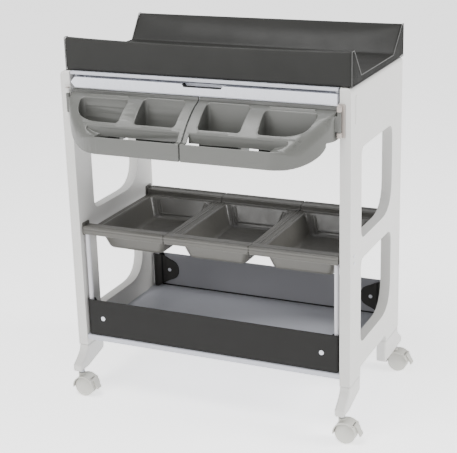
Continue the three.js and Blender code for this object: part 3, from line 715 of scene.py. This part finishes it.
def tray_field(low, high):
    """One lift-out tray: raised front and rear rails, grooved side rims and a ribbed basin."""
    middle = (low[0] + high[0]) / 2
    rim, top, wall = high[2] - 17, high[2], 2.6
    rail = 38
    across = (low[0], high[0])
    basin = ((middle - 101, low[1] + 50), (middle + 101, high[1] - 50))
    floor = low[2] + wall
    draft = 20 / (rim - floor)

    def basin_field(p, grow):
        x, y, z = p
        inset = (rim - z) * draft - grow
        near, far = [side + inset for side in basin[0]], [side - inset for side in basin[1]]
        plan = rectangle_field(x, y, near, far, 15 + grow)
        return both(plan * 0.95, floor - grow - z, 8 + grow)

    def field(p):
        x, y, z = p
        # a flat plate with the basin hung in it
        plate = both(rectangle_field(x, y, low[:2], high[:2], 3.0), slab(z, rim - wall, rim), 1.1)
        shell = both(basin_field(p, wall), z - rim + 0.5)
        tray = either(plate, shell, 3.0)
        # the hollow rails along the front and the rear, each with a bead and two grooves
        for sign, edge in ((1, low[1]), (-1, high[1])):
            depth = (y - edge) * sign
            outside = rectangle_field(depth, z, (0, rim - wall - 1.5), (rail, top), 3.2)
            hump = both(outside, slab(x, *across), 1.6)
            inside = rectangle_field(depth, z, (wall, rim - 20), (rail - wall, top - wall), 3.0)
            under = both(inside, slab(x, low[0] - 5, high[0] + 5))
            tray = either(tray, without(hump, under, 0.6), 2.0)
            bead_line = np.hypot(depth - 5.5, z - top + 0.6) - 2.9
            bead = both(bead_line, slab(x, low[0] + 1.5, high[0] - 1.5), 0.8)
            tray = either(tray, bead, 1.0)
            top_line = np.hypot(depth - 12.5, z - top - 0.2)
            front_line = np.hypot(depth + 0.3, z - top + 7.0)
            tray = without(tray, np.minimum(top_line, front_line) - 1.9, 0.8)
        # a ridge and a groove along each side rim, and a notch where two trays meet
        for edge, sign in ((low[0], 1), (high[0], -1)):
            inward = (x - edge) * sign
            ridge_line = np.hypot(inward - 3.2, z - rim + 0.4) - 2.3
            ridge = both(ridge_line, slab(y, low[1] + rail - 2, high[1] - rail + 2))
            tray = either(tray, ridge, 1.0)
            groove_line = np.hypot(inward - 10.5, z - rim - 0.4) - 1.6
            groove = both(groove_line, slab(y, low[1] + rail + 4, high[1] - rail - 4))
            tray = without(tray, groove, 0.7)
            notch_face = rectangle_field(x - edge, z, (-1.9, rim - 6), (1.9, rim + 3.0), 0.9)
            tray = without(tray, both(notch_face, y - low[1] - 8), 0.4)
        # the basin's opening with its lip, then the ribs in its corners and along its rear
        lip = both(np.abs(basin_field(p, 0.0) - 2.2) - 1.6, slab(z, rim - 1, rim + 1.2), 0.9)
        tray = either(tray, lip, 0.8)
        tray = without(tray, basin_field(p, 0.0), 1.6)
        for sx in (-1, 1):
            for sy, edge in ((1, basin[0][1]), (-1, basin[1][1])):
                foot = np.array([middle + sx * 66, edge + sy * 18.0, floor + 6])
                head = np.array([middle + sx * 82, edge + sy * 2.1, rim - 6])
                for gap in (0.0, 8.0):
                    beside = np.array([-sx * gap, 0.0, 0.0])
                    tray = either(tray, capsule(p, foot + beside, head + beside, 1.5), 1.0)
        ledge_y, ledge_z = basin[1][1] - 15.2, floor + 14
        ledge = capsule(p, (middle - 66, ledge_y, ledge_z), (middle + 66, ledge_y, ledge_z), 1.5)
        return either(tray, ledge, 1.0)

    return field


def add_strips():
    """A thin dark strip at the foot of the rear guard's inner face, a painted shadow where the guard meets
    the shelf, and the raised rib on the right panel.
    """
    # a dark strip in the guard's grey that stands in for the shadow line along the shelf: painted shadow
    low, high = drawn_box("shelf_guard_rear")
    inner, outer = high[1] - 3.4, high[1] - 2.2
    foot, head = low[2] - 0.5, low[2] + 4.0
    side = [(inner, foot), (inner, head), (outer, head), (outer, foot)]
    mesh = prism(side, lambda u, v, x: (x, u, v), (low[0] + 20, high[0] - 20))
    mesh.name = "guard_shadow_strip_rear"
    soften(new_piece("guard_shadow_strip_rear", mesh, "frame", GUARD), 0.6, 2)
    face = drawn_box("side_panel_right")[1][0]
    # the rib on the panel in (y, z), a long upright lozenge
    mark = [(35, 829), (40, 827), (45, 829), (45, 897), (40, 899), (35, 897)]
    mesh = prism(mark, lambda u, v, x: (x, u, v), (face - 0.2, face + 0.9))
    mesh.name = "panel_rib_right"
    soften(new_piece("panel_rib_right", mesh, "frame", WHITE), 0.5, 2)


def add_trays():
    """The middle tray, and its copies to the left and right."""
    low, high = drawn_box("tray_middle")
    shape = moulding("tray_middle_finish", tray_field(low, high), low - 4, high + 4, 1.5)
    for place in ("left", "middle", "right"):
        mesh = shape if place == "middle" else shape.copy()
        offset = drawn_box(f"tray_{place}")[0][0] - low[0]
        mesh.transform(Matrix.Translation((offset * MM, 0, 0)))
        node = f"tray_{place}"
        new_piece(f"{node}_finish", mesh, node, TRAY_GREY, [node])


# ---- bins --------------------------------------------------------------------------

# the bins' top face is z + tilt * (y - CROWN y) - bend * (y - CROWN y)^2, down to the band's top
CROWN = {"y": -4, "z": 866, "tilt": 0.341, "bend": 0.00427}
BAND_TOP = 785.6
LIP_FRONT = -89
# a bin's two pockets: where they start and end in x, and their floors above the bin's bottom
INNER_POCKET = (29, 147, 9)
OUTER_POCKET = (188, 326, 26)
HINGE_AXIS = (374.0, -10.0)


def crown_at(y):
    """The height of the bins' top face at y."""
    rel = y - CROWN["y"]
    return np.maximum(CROWN["z"] + CROWN["tilt"] * rel - CROWN["bend"] * rel ** 2, BAND_TOP)


def bin_plan(low, high, pull=0.36):
    """The right-hand bin from above: square at the middle, rounded at its outer front corner."""
    corner, bend_end, steps = 135, -10, 20
    curve = [
        (high[0] - corner, low[1]),
        (high[0] - corner * (1 - pull), low[1]),
        (high[0], bend_end + (low[1] - bend_end) * pull),
        (high[0], bend_end),
    ]
    points = [(low[0], high[1]), (low[0], low[1])]
    points += [cubic(i / steps, curve) for i in range(steps + 1)]
    points.append((high[0], high[1]))
    return points


def bin_crown(low, high):
    """The bin's side view in (y, z): curved top face, flat band top, with a raised rear flange."""
    steps = 24
    kink = -107
    points = [(low[1] - 20, BAND_TOP)]
    for i in range(steps + 1):
        y = kink + (3 - kink) * i / steps
        points.append((y, float(crown_at(y))))
    points += [(3.6, 876.4), (high[1] + 20, 876.8)]
    points += [(high[1] + 20, low[2] - 60), (low[1] - 20, low[2] - 60)]
    return points


def pocket_field(p, span, bottom, grow, plan=None):
    """A pocket with drafted walls, grown for its outside, and kept inside a plan if one is given."""
    x, y, z = p
    x0, x1, rise = span
    floor = bottom + rise
    front, back, draft = -83.0, -9.5, 0.055
    inset = (860 - z) * draft - grow
    walls = rectangle_field(x, y, (x0 + inset, front + inset), (x1 - inset, back - inset), 8 + grow)
    if plan is not None:
        walls = both(walls, plan + 26 + inset, 14 + grow)
    return both(walls, floor - grow - z, 5 + grow)


def bin_field(low, high):
    """The right-hand bin: a thin shell with two pockets and a towel slot behind its band."""
    inner, outer, bottom, skin = low[0], 366.0, low[2], 3.0
    turn, belly = 265, bottom + 55
    plan_high = np.array([outer, high[1], high[2]])
    plan_corners = bin_plan(low, plan_high)
    crown_corners = bin_crown(low, high)
    pocket_corners = bin_plan(low, plan_high, 0.52)
    # the plan without its inner end, so that the seam edge can have its own radius
    open_corners = [(inner - 60, y) if i < 2 else (x, y) for i, (x, y) in enumerate(plan_corners)]

    def field(p):
        x, y, z = p
        plan = polygon_field(x, y, open_corners)
        pocket_plan = polygon_field(x, y, pocket_corners)
        crown = polygon_field(y, z, crown_corners)
        # the outside: the plan under the curved top face, with a belly that rises at the outer end
        shoulder = 3.0 + 20.0 * np.clip((x - 235) / 70, 0, 1) ** 2 * np.clip((-8 - y) / 30, 0, 1)
        arc = np.hypot((x - turn) / 88, (z - belly) / 55)
        under_arc = np.maximum((arc - 1) * 55 * 0.8, bottom - z)
        underside = np.where((x > turn) & (z < belly), under_arc, bottom - z)
        underside = np.where(x > turn + 88, belly - z, underside)
        casing = both(plan, crown, shoulder)
        casing = both(casing, inner - x, 1.6)
        casing = both(casing, underside, 1.4)
        # the thin shell, open at the seam end and at the rear
        hollow = both(plan + skin, crown + skin, np.maximum(shoulder - skin, 0.5))
        shell = without(casing, both(hollow, inner + skin - x, 0.5), 0.6)
        end_gap = both(crown + 10, slab(y, -104, high[1] - skin - 1), 3.0)
        shell = without(shell, both(end_gap, x - inner - skin - 3), 0.7)
        rear_gap = both(slab(x, inner - 60, outer - 14), high[1] - skin - 3 - y)
        shell = without(shell, both(rear_gap, z - 862), 0.7)
        # the pockets' walls and the skirt behind the band
        skirt_face = both(slab(x, 11, 277), bottom + 40 - z, 1.0)
        skirt = both(slab(y, LIP_FRONT, LIP_FRONT + 2.6), skirt_face, 0.8)
        inner_out = pocket_field(p, INNER_POCKET, bottom, 2.6)
        outer_out = pocket_field(p, OUTER_POCKET, bottom, 2.6, pocket_plan)
        walls = both(either(either(inner_out, outer_out), skirt, 1.5), casing, 0.2)
        whole = either(shell, walls, 1.5)
        block = both(both(slab(x, 238, 279), slab(y, -124, LIP_FRONT + 3)), casing)
        whole = either(whole, block, 0.8)
        # the towel slot, whose lower edge sweeps up at its outer end
        sweep_line = BAND_TOP + 0.4 + 12.0 * np.clip((x - 236) / 38, 0, 1) ** 2.2
        above = np.where(x < 239, -50.0, sweep_line - z)
        slot_face = both(rectangle_field(x, z, (14, BAND_TOP - 60), (274, 808), 7.0), above, 1.0)
        slot = both(both(slot_face, y - LIP_FRONT), plan + skin)
        whole = without(whole, slot, 1.4)
        whole = without(whole, pocket_field(p, INNER_POCKET, bottom, 0.0), 2.2)
        whole = without(whole, pocket_field(p, OUTER_POCKET, bottom, 0.0, pocket_plan), 2.2)
        # a raised bead behind each pocket and a finer rim in front of it
        bead_y, rim_y = -7.2, -86
        bead_z, rim_z = crown_at(bead_y) + 0.6, crown_at(rim_y) + 0.2
        for start, end in ((37, 140), (196, 312)):
            bead = capsule(p, (start, bead_y, bead_z), (end, bead_y, bead_z), 2.5)
            whole = either(whole, bead, 0.8)
            rim = capsule(p, (start, rim_y, rim_z), (end - 24, rim_y, rim_z), 1.5)
            whole = either(whole, rim, 1.0)
        return whole

    return field


def hinge_field(p):
    """The barrel and arm on the bin's outer end."""
    x, y, z = p
    from_axis = np.hypot(x - HINGE_AXIS[0], y - HINGE_AXIS[1])
    barrel = both(from_axis - 5.0, slab(z, 816, 866), 0.8)
    arm = both(rectangle_field(x, y, (363.5, -15), (374, -9), 1.0), slab(z, 818, 856), 1.0)
    return without(either(barrel, arm, 2.0), from_axis - 3.1, 0.4)


def add_bins():
    """The right bin and its mirror image, with darker faces in the shade behind the band."""
    low, high = drawn_box("front_bin_right")
    body = bin_field(low, high)

    def field(p):
        return either(body(p), hinge_field(p), 1.5)

    reach = np.array([384, high[1] + 4, 878])
    right = moulding("front_bin_right_finish", field, low - 4, reach, 1.5)
    right.materials.append(BIN_GREY)
    right.materials.append(BIN_UNLIT)
    lip = (LIP_FRONT + 2) * MM + FRONT_PLANE
    for face in right.polygons:
        centre = face.center
        behind_band = lip < centre.y < lip + 60 * MM and centre.z < 778 * MM
        if behind_band and 10 * MM < centre.x < 280 * MM and face.normal.y < -0.4:
            face.material_index = 1
    left = mirror_mesh(right, "front_bin_left_finish")
    for side, mesh in (("right", right), ("left", left)):
        node = f"front_bin_{side}"
        new_piece(f"{node}_finish", mesh, f"bin_{side}", None, [node])
        bracket = HINGE if side == "right" else WHITE
        rounded_part(f"bin_hinge_bracket_{side}", bracket, 0.8, 2)
        rounded_part(f"bin_hinge_pin_{side}", HINGE, 0.4, 2)


# ---- bath --------------------------------------------------------------------------


def add_bath():
    rounded_part("bath_tub", GLOSS_WHITE, 1.0, 3)
    rounded_part("bath_plug", BIN_GREY, 0.6, 2)


# ---- casters -----------------------------------------------------------------------


def add_casters():
    """The four braked twin-wheel casters."""
    for end in ("front", "rear"):
        for side in ("left", "right"):
            place = f"{end}_{side}"
            rounded_part(f"caster_stem_{place}", STEEL, 0.5, 2)
            rounded_part(f"caster_hood_{place}", CASTER, 0.6, 2, 40)
            rounded_part(f"caster_wheels_{place}", CASTER, 1.2, 3)
            rounded_part(f"caster_brake_{place}", CASTER, 0.8, 2)


# ---- mat ---------------------------------------------------------------------------


def mat_block(low, high):
    """The mat as a closed block of quads: columns along x and y, layers between its faces.

    Its rear wall is thinner at the left end than at the right one.
    """
    columns, rows, layers = 98, 72, 9
    floor, top_sag = 17.3, 4.0
    front_top, front_foot = 16, 71
    rear_top, rear_foot, rear_taper = 12, 88, 26
    # how many rows go to the front wall's top and slope, the floor, and the rear wall's slope and top
    counts = [3, 11, 43, 13, 2]
    xs = np.linspace(low[0], high[0], columns + 1)
    top = high[2] - low[2]
    levels = [top, top, floor, floor, top, top]
    stops = np.concatenate([[0], np.cumsum(counts)])
    heights = np.interp(np.arange(rows + 1), stops, levels)

    def place(i, j):
        slope_start = high[1] - (rear_foot - rear_taper * (1 - i / columns))
        front = [low[1], low[1] + front_top, low[1] + front_foot]
        return xs[i], np.interp(j, stops, front + [slope_start, high[1] - rear_top, high[1]])

    numbers = {}
    vertices = []

    def vertex(i, j, k):
        key = (i, j, k)
        if key not in numbers:
            numbers[key] = len(vertices)
            x, y = place(i, j)
            on_front_wall = j < 12 and heights[j] > 40
            sag = top_sag * (1 - (2 * i / columns - 1) ** 2) if on_front_wall else 0.0
            height = heights[j] - sag
            vertices.append((x, y, low[2] + height * k / layers))
        return numbers[key]

    faces = []

    def quad(corner, across, along):
        """The face from a grid corner to its neighbours across and along."""
        a, b, c = np.array(corner), np.array(across), np.array(along)
        faces.append([vertex(*(int(n) for n in spot)) for spot in (a, a + b, a + b + c, a + c)])

    along_x, along_y, upward = (1, 0, 0), (0, 1, 0), (0, 0, 1)
    for i in range(columns):
        for j in range(rows):
            quad((i, j, layers), along_x, along_y)
            quad((i, j, 0), along_y, along_x)
    for i in range(columns):
        for k in range(layers):
            quad((i, 0, k), along_x, upward)
            quad((i, rows, k), upward, along_x)
    for j in range(rows):
        for k in range(layers):
            quad((0, j, k), upward, along_y)
            quad((columns, j, k), along_y, upward)
    folds = {0, counts[0] + counts[1], counts[0] + counts[1] + counts[2], rows}
    outline, seams = [], set()
    for (i, j, k), number in numbers.items():
        at_end = i in (0, columns)
        on_outline = k in (0, layers) or j in (0, rows)
        if (at_end and on_outline) or k == 0 or (k == layers and j in folds):
            seams.add(number)
        if at_end and on_outline:
            outline.append((number, i, j, k))
    return np.array(vertices), faces, sorted(seams), outline, (columns, rows, layers)


def inflate(piece, held, pressure, cap):
    """Cloth under pressure for 20 frames, with each point's move capped."""
    scene = bpy.context.scene
    group = piece.vertex_groups.new(name="held")
    group.add(held, 1.0, "REPLACE")
    cloth = piece.modifiers.new("cloth", "CLOTH")
    settings = cloth.settings
    settings.quality = 6
    settings.mass = 0.25
    settings.tension_stiffness = 18
    settings.compression_stiffness = 18
    settings.shear_stiffness = 8
    settings.bending_stiffness = 3
    settings.use_pressure = True
    settings.uniform_pressure_force = pressure
    settings.effector_weights.gravity = 0
    settings.vertex_group_mass = "held"
    cloth.point_cache.frame_start = 1
    cloth.point_cache.frame_end = 20
    start = np.array([vertex.co for vertex in piece.data.vertices])
    for number in range(1, cloth.point_cache.frame_end + 1):
        scene.frame_set(number)
    evaluated = piece.evaluated_get(bpy.context.evaluated_depsgraph_get())
    moved = np.array([vertex.co for vertex in evaluated.data.vertices])
    piece.modifiers.remove(cloth)
    scene.frame_set(1)
    step = moved - start
    size = np.linalg.norm(step, axis=1, keepdims=True)
    step *= np.minimum(1.0, cap / np.maximum(size, 1e-9))
    piece.data.vertices.foreach_set("co", (start + step).ravel())
    piece.data.update()


def seam_ribbon(name, path, radius):
    """A closed welded bead along a path of row frame points."""
    curve = bpy.data.curves.new(name, "CURVE")
    curve.dimensions = "3D"
    curve.bevel_depth = radius
    curve.bevel_resolution = 3
    spline = curve.splines.new("POLY")
    spline.points.add(len(path) - 1)
    for point, place in zip(spline.points, path):
        point.co = (*place, 1.0)
    spline.use_cyclic_u = True
    return curve


def add_mat():
    """The padded mat, swollen by the cloth simulation, with a welded bead round each end. Its end faces carry
    painted shade, and the beads' paler colour is a painted highlight.
    """
    low, high = drawn_box("changing_mat")
    inset = np.array([3.0, 3.5, 0.4])
    inset_top = np.array([2.0, 3.5, -4.5])
    vertices, faces, seams, outline, (columns, rows, layers) = mat_block(low + inset, high - inset_top)
    mesh = mesh_of("changing_mat_cover", row(vertices), faces)
    cover = new_piece("changing_mat_cover", mesh, "mat", VINYL, ["changing_mat"])
    mesh.materials.append(VINYL_PAINTED_SHADE)
    # painted shade on the mat's end faces
    for face in mesh.polygons:
        if abs(face.normal.x) > 0.7:
            face.material_index = 1
    inflate(cover, seams, 4.0, 0.009)
    loops = {}
    for number, i, j, k in outline:
        loops.setdefault(i, {})[(j, k)] = cover.data.vertices[number].co.copy()
    ring = [(j, 0) for j in range(rows)] + [(rows, k) for k in range(layers)]
    ring += [(j, layers) for j in range(rows, 0, -1)] + [(0, k) for k in range(layers, 0, -1)]
    for i, name in ((0, "left"), (columns, "right")):
        path = [loops[i][key] for key in ring]
        curve = seam_ribbon(f"mat_seam_{name}", path, 0.0013)
        seam = bpy.data.objects.new(f"mat_seam_{name}", curve)
        bpy.context.scene.collection.objects.link(seam)
        # the bead's paler colour is a painted highlight
        curve.materials.append(VINYL_WELD_PAINTED_HIGHLIGHT)
        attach(seam, "mat")
    smooth = cover.modifiers.new("smooth", "SUBSURF")
    smooth.levels = smooth.render_levels = 1


# ---- everything --------------------------------------------------------------------

add_camera()
add_studio()
add_frame()
add_guards()
add_strips()
add_trays()
add_bins()
add_bath()
add_casters()
add_mat()
